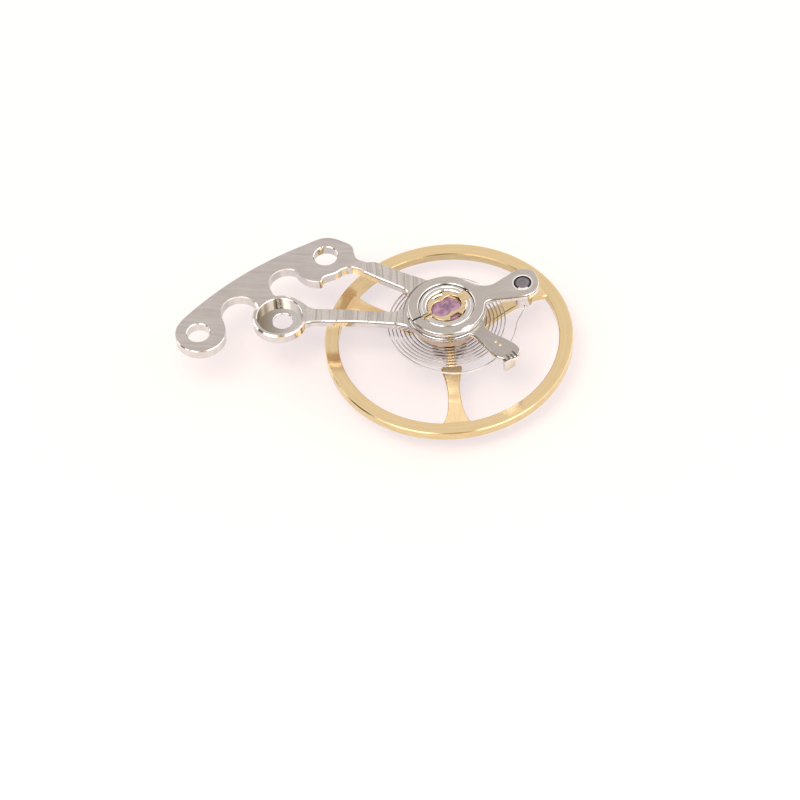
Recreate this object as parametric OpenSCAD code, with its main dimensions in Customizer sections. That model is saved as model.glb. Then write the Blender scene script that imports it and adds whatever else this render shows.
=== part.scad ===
// Balance wheel assembly of a mechanical watch: a three-spoke balance on its
// staff with hairspring and rollers, carried under a two-armed balance bridge
// with a sprung upper jewel, a regulator lever and a stud-holder lever.
// Millimetres. The origin is the tip of the lower pivot on the staff axis,
// +Z runs up the staff, and the bridge reaches out towards -X.

/* [Balance wheel] */
// Outside diameter of the balance rim
wheel_d = 10.0; // [9.6:0.1:10.2]
// Radial width of the rim
rim_w = 0.555; // [0.40:0.005:0.70]
// Height of the rim
rim_h = 0.40; // [0.30:0.01:0.44]
// Number of spokes
spokes = 3; // [2:1:4]
// Thickness of the spokes
spoke_t = 0.22; // [0.16:0.01:0.26]
// Height of the wheel's top face over the lower pivot tip
wheel_top = 1.70; // [1.60:0.01:1.85]

/* [Hairspring] */
// Height of the strip's middle over the lower pivot tip
spring_z = 2.62; // [2.56:0.01:2.64]
// Height of the strip
strip_h = 0.10; // [0.08:0.01:0.16]
// Thickness of the strip
strip_t = 0.036; // [0.025:0.001:0.045]
// Outer radius of the close coils
coils_r = 2.40; // [2.20:0.01:2.50]
// Radius of the coil that runs between the curb pins
curb_r = 2.77; // [2.74:0.01:2.80]
// Distance from one coil to the next
pitch = 0.15; // [0.12:0.005:0.16]

/* [Bridge] */
// Height of the bridge's top face at the foot
plate_top = 3.32; // [3.30:0.01:3.36]
// Thickness of the bridge at the foot
plate_t = 0.44; // [0.43:0.01:0.48]
// Thickness of the two arms
arm_t = 0.36; // [0.30:0.01:0.36]
// Through hole of the fixing screw, diameter
screw_d = 0.80; // [0.70:0.02:0.90]
// Recess for the screw head, diameter
head_d = 1.80; // [1.70:0.01:1.90]
// Depth of the recess for the screw head
head_deep = 0.32; // [0.20:0.01:0.34]
// Dowel hole in the foot, diameter
dowel1_d = 0.92; // [0.80:0.02:1.00]
// Dowel hole in the upper lobe, diameter
dowel2_d = 0.96; // [0.80:0.02:1.00]

/* [Levers] */
// Height of the regulator's top face
reg_top = 3.44; // [3.42:0.01:3.45]
// Thickness of the regulator
reg_t = 0.20; // [0.16:0.01:0.21]
// Height of the stud holder's top face
holder_top = 3.70; // [3.66:0.01:3.74]
// Thickness of the stud holder
holder_t = 0.24; // [0.20:0.01:0.25]
// Diameter of the hairspring stud
stud_d = 0.72; // [0.60:0.02:0.76]
// Width of the slit in the stud holder's ring
slit_w = 0.08; // [0.05:0.01:0.12]

/* [Upper jewel] */
// Direction of the jewel spring's long axis, degrees from +X
jewel_dir = 30; // [20:1:34]
// Diameter of the jewel setting
setting_d = 1.40; // [1.30:0.01:1.42]
// Diameter of the cap jewel
cap_d = 1.22; // [1.10:0.01:1.24]

/* [Staff] */
// Diameter of both pivots
pivot_d = 0.10; // [0.08:0.005:0.11]
// Overall length of the staff
staff_l = 3.21; // [3.20:0.01:3.215]

/* [Hidden] */
e = 0.02; // how far a cutter runs past a face
hub_top = 3.16; // turned seat of the two levers
hub_low = 2.80; // underside of the hub
block_r = 1.10;
block_top = 3.68;
jewel_spring_z = 3.60; // underside of the jewel spring
bore_r = 0.90; // bore of the bridge for the jewel block
stud_at = [3.12, 0.84];
stud_low = spring_z - strip_h/2 - 0.05;
pin_low = spring_z - strip_h/2 - 0.09;
pin_in_r = curb_r - 0.12;
pin_out_r = curb_r + 0.12;
pin_r = 0.045;
pin_dir = -46.8;
screw_at = [-6.69, 0.53];
screw_hole_at = [-6.58, 0.51]; // off the middle of its recess
dowel1_at = [-9.97, 0.01];
dowel2_at = [-4.66, 3.49];
roller_dir = 90;
jewel_at_r = 0.52;

function arc(c, r, a0, a1, n) = [for (i = [0:n]) let (a = a0 + (a1 - a0)*i/n) c + r*[cos(a), sin(a)]];
function ease(t) = let (u = max(0, min(1, t))) u*u*(3 - 2*u);

// ---- balance bridge -------------------------------------------------------
// Outline seen from above, run clockwise from the foot.
bridge_outline = concat(
  arc([-9.88, 0.02], 1.02, 14, -222, 28),
  arc([-0.29, -9.06], 14.243, 136.4, 110.7, 14),
  [[-5.02, 4.40], [-4.72, 4.48], [-4.44, 4.47], [-4.16, 4.36], [-3.90, 4.20], [-3.67, 4.04], [-3.55, 3.88],
   [-3.51, 3.70], [-3.49, 3.48], [-3.44, 3.28], [-3.33, 3.14], [-3.16, 3.06],
   [-2.96, 3.04], [-2.76, 3.04], [-2.55, 2.95], [-2.22, 2.75], [-1.64, 2.36], [-1.25, 2.14], [-0.87, 1.94], [-0.60, 1.76], [-0.42, 1.58]],
  arc([0, 0], 1.30, 102, -154, 16),
  [[-1.46, -0.60], [-1.66, -0.52], [-1.90, -0.42], [-3.41, -0.10], [-4.60, 0.06], [-5.40, 0.14], [-5.58, 0.10]],
  arc(screw_at, 1.09, -24, -206, 24),
  arc([-8.28, 0.98], 0.72, 0, 186, 24),
  [[-8.99, 0.72], [-8.93, 0.50], [-8.90, 0.36]]);
// The window between the arms, with the notch behind the boss.
window_outline = concat(
  arc([-6.29, 2.22], 0.73, 60, 232, 22),
  arc(screw_at, 1.12, 92, 44, 8),
  [[-5.72, 1.22], [-5.58, 1.06], [-5.44, 0.92], [-5.26, 0.83], [-5.00, 0.78], [-4.16, 0.66], [-3.37, 0.50], [-2.58, 0.37], [-2.16, 0.31], [-1.98, 0.32], [-1.86, 0.40]],
  arc([0, 0], 1.82, 165, 146, 6),
  [[-1.50, 1.18], [-1.56, 1.36], [-1.72, 1.52], [-2.08, 1.77], [-2.47, 2.03], [-2.85, 2.30], [-3.23, 2.57], [-3.46, 2.71], [-3.66, 2.78],
   [-3.86, 2.77], [-4.05, 2.70], [-4.23, 2.58], [-4.43, 2.50], [-4.70, 2.42], [-4.84, 2.34], [-4.90, 2.16],
   [-5.20, 2.17], [-5.45, 2.28], [-5.64, 2.44], [-5.82, 2.66]]);
module bridge_plan() { difference() { polygon(bridge_outline); polygon(window_outline); } }
// The part of the plan that keeps the full height of the foot.
module foot_plan() {
  difference() {
    polygon([[-11.5, -1.5], [-5.25, -1.5], [-5.25, 1.9], [-3.3, 1.9], [-2.9, 3.9], [-2.9, 5], [-11.5, 5]]);
    translate([-4.6, 0.4]) square([2, 2.0], center = true);
  }
}
module balance_bridge() {
  color([0.73, 0.71, 0.68]) difference() {
    union() {
      difference() {
        translate([0, 0, plate_top - plate_t]) linear_extrude(plate_t) intersection() { bridge_plan(); foot_plan(); }
        // relief under the lobe, clear of the balance rim
        translate([0, 0, plate_top - plate_t - e]) cylinder(r = wheel_d/2 + 0.20, h = e + plate_t - 0.06 - arm_t, $fn = 180);
      }
      translate([0, 0, plate_top - 0.06 - arm_t]) linear_extrude(arm_t) bridge_plan();
      translate([0, 0, hub_low]) cylinder(r = 1.45, h = hub_top - hub_low + 0.03, $fn = 96);
    }
    // turned seat round the jewel block
    translate([0, 0, hub_top]) cylinder(r = 1.78, h = 1, $fn = 96);
    translate([0, 0, hub_low - e]) cylinder(r = bore_r, h = 2, $fn = 96);
    // fixing screw and dowels
    translate([screw_hole_at[0], screw_hole_at[1], 2]) cylinder(d = screw_d, h = 2, $fn = 64);
    translate([screw_at[0], screw_at[1], plate_top - head_deep]) cylinder(d = head_d, h = 1, $fn = 96);
    translate([dowel1_at[0], dowel1_at[1], 2]) cylinder(d = dowel1_d, h = 2, $fn = 64);
    translate([dowel2_at[0], dowel2_at[1], 2]) cylinder(d = dowel2_d, h = 2, $fn = 64);
  }
}

// ---- sprung upper jewel ---------------------------------------------------
module shock_block() {
  color([0.76, 0.74, 0.71]) difference() {
    rotate_extrude($fn = 96) polygon([[0.26, hub_low], [bore_r, hub_low], [bore_r, hub_top], [block_r, hub_top],
      [block_r, block_top - 0.04], [block_r - 0.04, block_top], [0.84, block_top], [0.80, block_top - 0.04],
      [0.80, 3.50], [0.74, 3.46], [0.74, 3.00], [0.40, 3.00], [0.26, 2.90]]);
    // notches that the jewel spring's tabs lie in
    rotate([0, 0, jewel_dir]) translate([0.70, -0.25, jewel_spring_z - 0.04]) cube([0.50, 0.50, 1]);
    rotate([0, 0, jewel_dir + 180]) translate([0.70, -0.14, jewel_spring_z - 0.04]) cube([0.50, 0.28, 1]);
  }
}
module shock_spring() {
  color([0.86, 0.70, 0.36]) rotate([0, 0, jewel_dir]) difference() {
    translate([0, 0, jewel_spring_z]) linear_extrude(0.05) union() {
      circle(r = 0.76, $fn = 72);
      polygon([[0.68, -0.22], [1.07, -0.22], [1.07, 0.22], [0.68, 0.22]]);
      polygon([[-1.04, -0.11], [-0.70, -0.11], [-0.70, 0.11], [-1.04, 0.11]]);
    }
    // the opening over the jewel, two lobes wide
    translate([0.24, 0, 3.4]) cylinder(r = 0.405, h = 0.5, $fn = 64);
    translate([-0.24, 0, 3.4]) cylinder(r = 0.405, h = 0.5, $fn = 64);
    // slot of the split tab
    translate([-1.1, -0.035, 3.4]) cube([0.55, 0.07, 0.5]);
    // bays at the waist
    for (s = [0, 180]) rotate([0, 0, s]) translate([0, 0, 3.4]) linear_extrude(0.5)
      polygon([[-0.19, 0.55], [0.19, 0.55], [0.36, 0.85], [-0.36, 0.85]]);
  }
}
module jewel_chaton() {
  color([0.84, 0.70, 0.42]) rotate_extrude($fn = 96)
    polygon([[0.34, 3.005], [setting_d/2 - 0.05, 3.005], [setting_d/2, 3.055], [setting_d/2, 3.46], [cap_d/2, 3.46], [cap_d/2, 3.20], [0.34, 3.20]]);
}
module hole_jewel() {
  color([0.72, 0.30, 0.45]) rotate_extrude($fn = 96)
    polygon([[0.058, 3.06], [0.058, 3.12], [0.16, 3.185], [0.34, 3.185], [0.34, 3.03], [0.14, 3.03]]);
}
module cap_jewel() {
  color([0.68, 0.50, 0.64]) rotate_extrude($fn = 96)
    polygon(concat([[0, 3.22], [cap_d/2 - 0.04, 3.22], [cap_d/2, 3.26], [cap_d/2, 3.46]],
      [for (i = [1:9]) let (x = cap_d/2*(1 - i/9)) [x, 3.46 + 0.085*(1 - (x/(cap_d/2))*(x/(cap_d/2)))]]));
}

// ---- regulator ------------------------------------------------------------
regulator_outline = [
  [0.62, -1.30], [0.86, -1.38], [1.02, -1.52], [1.25, -1.86], [1.47, -2.20], [1.65, -2.48], [1.78, -2.66], [1.92, -2.76],
  [2.10, -2.81], [2.36, -2.82], [2.55, -2.76], [2.68, -2.62], [2.74, -2.44], [2.70, -2.28], [2.60, -2.13], [2.44, -1.97], [2.22, -1.79],
  [1.91, -1.57], [1.66, -1.35], [1.50, -1.13], [1.44, -0.90], [1.50, -0.60], [1.20, -0.60], [0.90, -0.90]];
module regulator() {
  color([0.74, 0.72, 0.69]) difference() {
    union() {
      translate([0, 0, hub_top + 0.02]) cylinder(r = 1.58, h = reg_top - hub_top - 0.02, $fn = 96);
      translate([0, 0, reg_top - reg_t]) linear_extrude(reg_t) polygon(regulator_outline);
      // lip bent down at the tip
      translate([2.30, -2.80, reg_top - 0.66]) rotate([0, 0, -58]) translate([-0.12, -0.26, 0]) cube([0.16, 0.52, 0.60]);
    }
    translate([0, 0, 3]) cylinder(r = block_r + 0.03, h = 1, $fn = 96);
    // slit of the clip ring, on the bridge side
    rotate([0, 0, 192]) translate([1.0, -0.06, 3]) cube([1, 0.12, 1]);
    // three grip grooves
    for (k = [-1:1]) translate([2.30, -2.56, reg_top - 0.06]) rotate([0, 0, -58]) translate([-0.16, k*0.15 - 0.03, 0]) cube([0.60, 0.06, 0.2]);
    rotate([0, 0, pin_dir]) translate([pin_in_r, 0, 3]) cylinder(r = pin_r, h = 1, $fn = 24);
    rotate([0, 0, pin_dir]) translate([pin_out_r, 0, 3]) cylinder(r = pin_r, h = 1, $fn = 24);
  }
}
module curb_pin(r) {
  color([0.80, 0.66, 0.36]) rotate([0, 0, pin_dir]) translate([r, 0, pin_low]) cylinder(r = pin_r, h = reg_top + 0.015 - pin_low, $fn = 24);
}
module curb_pin_inner() { curb_pin(pin_in_r); }
module curb_pin_outer() { curb_pin(pin_out_r); }

// ---- stud holder ----------------------------------------------------------
holder_outline = [
  [0.70, 1.33], [0.88, 1.27], [1.10, 1.19], [1.30, 1.08], [1.50, 0.95], [1.69, 0.88], [1.89, 0.89], [2.10, 1.00], [2.31, 1.14], [2.52, 1.27],
  [2.72, 1.42], [2.92, 1.52], [3.16, 1.56], [3.42, 1.52], [3.62, 1.36], [3.74, 1.08], [3.77, 0.78], [3.70, 0.48], [3.54, 0.28], [3.32, 0.17],
  [3.04, 0.12], [2.64, 0.10], [2.24, 0.09], [1.76, 0.08], [1.60, 0.02], [1.40, -0.10], [1.25, 0.30], [0.90, 0.90]];
module stud_holder() {
  color([0.73, 0.71, 0.68]) difference() {
    union() {
      translate([0, 0, holder_top - holder_t]) cylinder(r = 1.53, h = holder_t, $fn = 96);
      translate([0, 0, holder_top - holder_t]) linear_extrude(holder_t) polygon(holder_outline);
    }
    translate([0, 0, 3]) cylinder(r = block_r + 0.03, h = 1, $fn = 96);
    rotate([0, 0, 205.5]) translate([1.0, -slit_w/2, 3]) cube([1, slit_w, 1]);
    translate([stud_at[0], stud_at[1], 3]) cylinder(r = stud_d/2, h = 1, $fn = 48);
    translate([stud_at[0], stud_at[1], holder_top - 0.04]) cylinder(r1 = stud_d/2, r2 = stud_d/2 + 0.05, h = 0.05, $fn = 48);
  }
}
module hairspring_stud() {
  color([0.62, 0.60, 0.60]) difference() {
    translate([stud_at[0], stud_at[1], stud_low]) cylinder(r = stud_d/2, h = holder_top - 0.01 - stud_low, $fn = 48);
    // slot that the strip's end is fixed in
    translate([stud_at[0], stud_at[1], stud_low - e]) rotate([0, 0, -82]) translate([-0.06, -0.05, 0]) cube([1, 0.10, strip_h + 0.05 + e + 0.03]);
  }
}
module stud_cement() {
  color([0.55, 0.42, 0.20]) translate([stud_at[0], stud_at[1], 0]) rotate([0, 0, -82]) translate([stud_d/2 - 0.09, 0, 0]) difference() {
    translate([0, -0.05, spring_z + strip_h/2]) cube([0.09, 0.10, 0.03]);
    translate([0.12, -0.1, spring_z + strip_h/2 - e]) cube([0.1, 0.2, 0.2]);
  }
}

// ---- hairspring -----------------------------------------------------------
// Plan angle runs clockwise from the stud; the strip leaves the stud, comes in
// to the curb pins, and then winds in at an even pitch to the collet.
stud_ang = atan2(stud_at[1], stud_at[0]);
stud_rad = norm(stud_at);
f_in = 158; // where the even winding starts
r_end = 0.4725;
f_end = f_in + 360*(coils_r - r_end - 0.03)/pitch;
function spring_r(f) = f < f_in
  ? (f < 70 ? stud_rad + (curb_r - stud_rad)*ease((f - 1)/24) : curb_r + (coils_r - curb_r)*ease((f - 76)/(f_in - 76)))
  : (f < f_end - 60 ? coils_r - pitch*(f - f_in)/360
    : let (r0 = coils_r - pitch*(f - f_in)/360) r0 + (r_end - (coils_r - pitch*(f_end - f_in)/360))*ease((f - f_end + 60)/60));
// steps: fine where the strip bends most
spring_f = concat([for (i = [0:17]) 1.5*i + 2.2], [for (f = [34:11:f_end - 6]) f], [f_end]);
module hairspring() {
  color([0.66, 0.66, 0.70]) {
    n = len(spring_f);
    ring = [[-1, -1], [1, -1], [1, 1], [-1, 1]];
    pts = [for (f = spring_f) let (r = spring_r(f), a = stud_ang - f) for (q = ring)
      [(r + q[0]*strip_t/2)*cos(a), (r + q[0]*strip_t/2)*sin(a), spring_z + q[1]*strip_h/2]];
    faces = concat([[3, 2, 1, 0]],
      [for (i = [0:n - 2]) for (k = [0:3]) [4*i + k, 4*i + (k + 1)%4, 4*(i + 1) + (k + 1)%4, 4*(i + 1) + k]],
      [[4*n - 4, 4*n - 3, 4*n - 2, 4*n - 1]]);
    polyhedron(points = pts, faces = faces, convexity = 30);
  }
}
module hairspring_collet() {
  color([0.80, 0.66, 0.40]) difference() {
    translate([0, 0, spring_z - 0.17]) cylinder(r = 0.45, h = 0.30, $fn = 64);
    translate([0, 0, 2]) cylinder(r = 0.24, h = 1, $fn = 64);
    rotate([0, 0, 40]) translate([0.1, -0.03, 2]) cube([0.6, 0.06, 1]);
  }
}

// ---- balance --------------------------------------------------------------
module balance_staff() {
  r = pivot_d/2;
  color([0.62, 0.62, 0.64]) rotate_extrude($fn = 64) polygon(concat(
    [[0, 0], [r - 0.015, 0], [r, 0.015], [r, 0.16], [0.07, 0.24], [0.11, 0.30], [0.20, 0.36], [0.24, 0.40],
     [0.24, wheel_top - 0.40], [0.54, wheel_top - 0.40], [0.54, wheel_top - spoke_t],
     [0.42, wheel_top - spoke_t], [0.42, wheel_top + 0.02], [0.47, wheel_top + 0.02], [0.47, wheel_top + 0.06], [0.40, wheel_top + 0.09], [0.30, wheel_top + 0.12],
     [0.24, wheel_top + 0.16], [0.24, 2.74], [0.20, 2.80], [0.12, 2.88], [0.075, 2.95], [r, 3.02]],
    [[r, staff_l - 0.015], [r - 0.015, staff_l], [0, staff_l]]));
}
// Half width of a spoke at a distance from the axis
spoke_edge = [[0.45, 0.22], [1.40, 0.22], [1.48, 0.27], [1.53, 0.40], [1.62, 0.42], [1.72, 0.405], [1.95, 0.345], [2.40, 0.275], [2.90, 0.245], [3.40, 0.27], [3.85, 0.33], [4.15, 0.41], [4.35, 0.50], [4.46, 0.58], [4.60, 0.62]];
module balance_wheel() {
  r = wheel_d/2;
  color([0.88, 0.74, 0.50]) {
    difference() {
      union() {
        translate([0, 0, wheel_top - rim_h]) difference() {
          cylinder(r = r, h = rim_h, $fn = 180);
          translate([0, 0, -e]) cylinder(r = r - rim_w, h = 1, $fn = 180);
        }
        translate([0, 0, wheel_top - spoke_t]) linear_extrude(spoke_t) for (k = [0:spokes - 1]) rotate(-90 + 360/spokes*k)
          polygon(concat([for (p = spoke_edge) [p[0], -p[1]]], [for (i = [len(spoke_edge) - 1:-1:0]) [spoke_edge[i][0], spoke_edge[i][1]]]));
        translate([0, 0, wheel_top - spoke_t]) cylinder(r = 0.55, h = spoke_t + 0.02, $fn = 96);
      }
      translate([0, 0, 1]) cylinder(r = 0.42, h = 1, $fn = 64);
    }
  }
}
module impulse_plan() { intersection() { circle(r = 0.09, $fn = 48); translate([-0.2, -0.2]) square([0.25, 0.4]); } }
module roller_table() {
  color([0.70, 0.70, 0.70]) difference() {
    translate([0, 0, 0.95]) cylinder(r = 0.70, h = 0.15, $fn = 96);
    translate([0, 0, 0.5]) cylinder(r = 0.24, h = 1, $fn = 64);
    rotate([0, 0, roller_dir]) translate([jewel_at_r, 0, 0.5]) linear_extrude(1) impulse_plan();
  }
}
module roller_cement() {
  color([0.60, 0.42, 0.18]) rotate([0, 0, roller_dir]) translate([jewel_at_r, 0, 1.10]) cylinder(r1 = 0.13, r2 = 0.10, h = 0.06, $fn = 48);
}
module safety_roller() {
  color([0.70, 0.70, 0.70]) difference() {
    translate([0, 0, 0.52]) cylinder(r = 0.38, h = 0.20, $fn = 64);
    translate([0, 0, 0.4]) cylinder(r = 0.24, h = 1, $fn = 64);
    rotate([0, 0, roller_dir]) translate([0.42, 0, 0.4]) cylinder(r = 0.12, h = 1, $fn = 48);
  }
}
module impulse_jewel() {
  color([0.72, 0.28, 0.42]) rotate([0, 0, roller_dir]) translate([jewel_at_r, 0, 0.50]) linear_extrude(0.60) impulse_plan();
}

balance_bridge();
shock_block();
shock_spring();
jewel_chaton();
hole_jewel();
cap_jewel();
regulator();
curb_pin_inner();
curb_pin_outer();
stud_holder();
hairspring_stud();
stud_cement();
hairspring();
hairspring_collet();
balance_staff();
balance_wheel();
roller_table();
roller_cement();
safety_roller();
impulse_jewel();
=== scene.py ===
import math

import bpy
import bmesh
import numpy as np
from mathutils import Matrix, Vector
from mathutils.geometry import tessellate_polygon


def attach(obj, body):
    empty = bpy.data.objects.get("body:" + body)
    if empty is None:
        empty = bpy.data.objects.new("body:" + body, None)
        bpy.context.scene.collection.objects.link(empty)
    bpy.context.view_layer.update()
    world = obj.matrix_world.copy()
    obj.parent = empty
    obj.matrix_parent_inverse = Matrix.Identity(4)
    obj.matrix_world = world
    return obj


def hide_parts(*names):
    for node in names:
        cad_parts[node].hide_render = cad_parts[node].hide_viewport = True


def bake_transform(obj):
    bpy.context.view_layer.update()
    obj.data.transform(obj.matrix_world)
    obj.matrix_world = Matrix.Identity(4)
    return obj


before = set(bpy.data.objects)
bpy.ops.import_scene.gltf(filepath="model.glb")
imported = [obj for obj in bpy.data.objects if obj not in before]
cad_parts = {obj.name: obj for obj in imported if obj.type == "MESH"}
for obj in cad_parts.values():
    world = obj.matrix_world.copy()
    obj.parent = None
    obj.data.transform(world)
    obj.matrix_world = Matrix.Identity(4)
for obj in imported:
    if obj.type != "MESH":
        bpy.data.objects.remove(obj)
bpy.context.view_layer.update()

# All shapes below are built in millimetres in the CAD frame and scaled to metres at the end.
MM = 0.001
scene = bpy.context.scene


# ---------------------------------------------------------------- plan curves
def rad(a):
    return a * math.pi / 180


def arc(c, r, a0, a1, n):
    return [(c[0] + r * math.cos(rad(a0 + (a1 - a0) * i / n)), c[1] + r * math.sin(rad(a0 + (a1 - a0) * i / n))) for i in range(n + 1)]


def circle(c, r, n=160):
    return arc(c, r, 0, 360, n)[:-1]


def turned_by(pts, deg, at=(0, 0)):
    c, s = math.cos(rad(deg)), math.sin(rad(deg))
    return [(at[0] + x * c - y * s, at[1] + x * s + y * c) for x, y in pts]


def area(pts):
    return sum(pts[i - 1][0] * pts[i][1] - pts[i][0] * pts[i - 1][1] for i in range(len(pts))) / 2


def cleaned(pts, least=0.004):
    out = []
    for p in pts:
        if not out or math.dist(out[-1], p) > least:
            out.append(p)
    while math.dist(out[0], out[-1]) <= least:
        out.pop()
    return out


def smooth(pts, step=0.06, closed=True):
    """A smooth line through the points (centripetal Catmull-Rom), with a point about every step."""
    pts = cleaned(pts) if closed else pts
    n, out = len(pts), []
    for i in range(n if closed else n - 1):
        p1, p2 = pts[i], pts[(i + 1) % n]
        if closed:
            p0, p3 = pts[i - 1], pts[(i + 2) % n]
        else:
            p0 = pts[i - 1] if i > 0 else (2 * p1[0] - p2[0], 2 * p1[1] - p2[1])
            p3 = pts[i + 2] if i + 2 < n else (2 * p2[0] - p1[0], 2 * p2[1] - p1[1])
        k = max(1, round(math.dist(p1, p2) / step))
        if k == 1:
            out.append(tuple(p1))
            continue
        q = [np.array(p, float) for p in (p0, p1, p2, p3)]
        t = [0.0]
        for a, b in zip(q, q[1:]):
            t.append(t[-1] + max(np.linalg.norm(b - a), 1e-6) ** 0.5)
        for j in range(k):
            u = t[1] + (t[2] - t[1]) * j / k
            a1 = q[0] * (t[1] - u) / (t[1] - t[0]) + q[1] * (u - t[0]) / (t[1] - t[0])
            a2 = q[1] * (t[2] - u) / (t[2] - t[1]) + q[2] * (u - t[1]) / (t[2] - t[1])
            a3 = q[2] * (t[3] - u) / (t[3] - t[2]) + q[3] * (u - t[2]) / (t[3] - t[2])
            b1 = a1 * (t[2] - u) / (t[2] - t[0]) + a2 * (u - t[0]) / (t[2] - t[0])
            b2 = a2 * (t[3] - u) / (t[3] - t[1]) + a3 * (u - t[1]) / (t[3] - t[1])
            c = b1 * (t[2] - u) / (t[2] - t[1]) + b2 * (u - t[1]) / (t[2] - t[1])
            out.append((float(c[0]), float(c[1])))
    if not closed:
        out.append(tuple(pts[-1]))
    return out


def inset(pts, d):
    """The loop moved by d to its left, where the material is. d is a number or one number a point."""
    n, out = len(pts), []
    for i in range(n):
        a, p, b = pts[i - 1], pts[i], pts[(i + 1) % n]
        e1, e2 = Vector((p[0] - a[0], p[1] - a[1])), Vector((b[0] - p[0], b[1] - p[1]))
        if e1.length < 1e-9 or e2.length < 1e-9:
            out.append(p)
            continue
        e1.normalize(), e2.normalize()
        n1, n2 = Vector((-e1.y, e1.x)), Vector((-e2.y, e2.x))
        m = n1 + n2
        k = 1 + n1.dot(n2)
        m = m / max(k, 0.35)
        w = d[i] if hasattr(d, "__len__") else d
        out.append((p[0] + m.x * w, p[1] + m.y * w))
    # where a tight corner would fold the line back, its points are drawn together
    for _ in range(20):
        folded = 0
        for i in range(n):
            j = (i + 1) % n
            way = Vector((pts[j][0] - pts[i][0], pts[j][1] - pts[i][1])).normalized()
            if (out[j][0] - out[i][0]) * way.x + (out[j][1] - out[i][1]) * way.y < 0.0004:
                mid = ((out[i][0] + out[j][0]) / 2, (out[i][1] + out[j][1]) / 2)
                out[i] = (mid[0] - way.x * 0.0003, mid[1] - way.y * 0.0003)
                out[j] = (mid[0] + way.x * 0.0003, mid[1] + way.y * 0.0003)
                folded += 1
        if not folded:
            break
    return out


# ---------------------------------------------------------------- closed meshes
def mesh_object(name, verts, faces):
    me = bpy.data.meshes.new(name)
    me.from_pydata(verts, [], faces)
    me.update()
    bm = bmesh.new()
    bm.from_mesh(me)
    bmesh.ops.recalc_face_normals(bm, faces=bm.faces[:])
    if bm.calc_volume(signed=True) < 0:
        bmesh.ops.reverse_faces(bm, faces=bm.faces[:])
    bad = sum(1 for e in bm.edges if len(e.link_faces) != 2)
    if bad:
        print("OPEN EDGES in", name, bad)
    bm.to_mesh(me)
    bm.free()
    ob = bpy.data.objects.new(name, me)
    scene.collection.objects.link(ob)
    return ob


def plate(name, outer, holes, z0, z1, top=0.02, bottom=0.02, top_deep=None, bottom_deep=None, line=0.0):
    """A flat plate with holes and bevelled edges. top and bottom are the bevels' widths, and *_deep their depths: numbers, or functions of x and y. line is the height of a strip under the top bevel."""
    loops = []
    for k, pts in enumerate([outer, *holes]):
        pts = cleaned(pts)
        if (area(pts) > 0) != (k == 0):
            pts = pts[::-1]
        loops.append(pts)
    width = lambda f, p: f(*p) if callable(f) else f
    top_deep = top if top_deep is None else top_deep
    bottom_deep = bottom if bottom_deep is None else bottom_deep
    verts, faces, caps = [], [], [[], []]
    for pts in loops:
        n = len(pts)
        wb, wt = [width(bottom, p) for p in pts], [width(top, p) for p in pts]
        db, dt = [width(bottom_deep, p) for p in pts], [width(top_deep, p) for p in pts]
        low, high = inset(pts, wb), inset(pts, wt)
        base = len(verts)
        verts += [(*low[i], z0) for i in range(n)] + [(*pts[i], z0 + db[i]) for i in range(n)]
        levels = 3
        if line:
            verts += [(*pts[i], z1 - dt[i] - line) for i in range(n)]
            levels = 4
        verts += [(*pts[i], z1 - dt[i]) for i in range(n)] + [(*high[i], z1) for i in range(n)]
        for level in range(levels):
            a, b = base + level * n, base + (level + 1) * n
            faces += [(a + i, a + (i + 1) % n, b + (i + 1) % n, b + i) for i in range(n)]
        caps[0].append([base + i for i in range(n)])
        caps[1].append([base + levels * n + i for i in range(n)])
    for cap in caps:
        flat = [i for loop in cap for i in loop]
        tris = tessellate_polygon([[Vector((verts[i][0], verts[i][1], 0)) for i in loop] for loop in cap])
        faces += [tuple(flat[i] for i in t) for t in tris]
    return mesh_object(name, verts, faces)


def lathe(name, profile, n=160, at=(0, 0)):
    """A closed profile of (radius, height) points turned about an upright axis."""
    verts, faces, rows = [], [], []
    for r, z in profile:
        if r <= 1e-9:
            rows.append([len(verts)] * n)
            verts.append((at[0], at[1], z))
        else:
            rows.append(list(range(len(verts), len(verts) + n)))
            verts += [(at[0] + r * math.cos(2 * math.pi * i / n), at[1] + r * math.sin(2 * math.pi * i / n), z) for i in range(n)]
    for a, b in zip(rows, rows[1:] + rows[:1]):
        if a[0] == a[1] and b[0] == b[1]:
            continue
        for i in range(n):
            j = (i + 1) % n
            f = [a[i], a[j], b[j], b[i]]
            f = [v for k, v in enumerate(f) if v not in f[:k]]
            if len(f) > 2:
                faces.append(tuple(f))
    return mesh_object(name, verts, faces)


def block(name, size, at, turn=0, bevel=0.0):
    """A box with bevelled edges, turned about Z, centred at a point."""
    bm = bmesh.new()
    bmesh.ops.create_cube(bm, size=1)
    bmesh.ops.scale(bm, vec=size, verts=bm.verts[:])
    if bevel:
        bmesh.ops.bevel(bm, geom=bm.edges[:], offset=bevel, segments=2, profile=0.6, affect="EDGES")
    bmesh.ops.rotate(bm, matrix=Matrix.Rotation(rad(turn), 3, "Z"), verts=bm.verts[:])
    bmesh.ops.translate(bm, vec=at, verts=bm.verts[:])
    me = bpy.data.meshes.new(name)
    bm.to_mesh(me)
    bm.free()
    ob = bpy.data.objects.new(name, me)
    scene.collection.objects.link(ob)
    return ob


def combine(a, b, how):
    """a united with, cut by or kept inside b, which is removed."""
    m = a.modifiers.new("with", "BOOLEAN")
    m.object, m.operation, m.solver = b, how, "MANIFOLD"
    bpy.context.view_layer.update()
    dg = bpy.context.evaluated_depsgraph_get()
    made = bpy.data.meshes.new_from_object(a.evaluated_get(dg))
    a.modifiers.clear()
    old, a.data = a.data, made
    bpy.data.meshes.remove(old)
    bpy.data.objects.remove(b)
    return a


def add(a, *others):
    for b in others:
        combine(a, b, "UNION")
    return a


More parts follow.
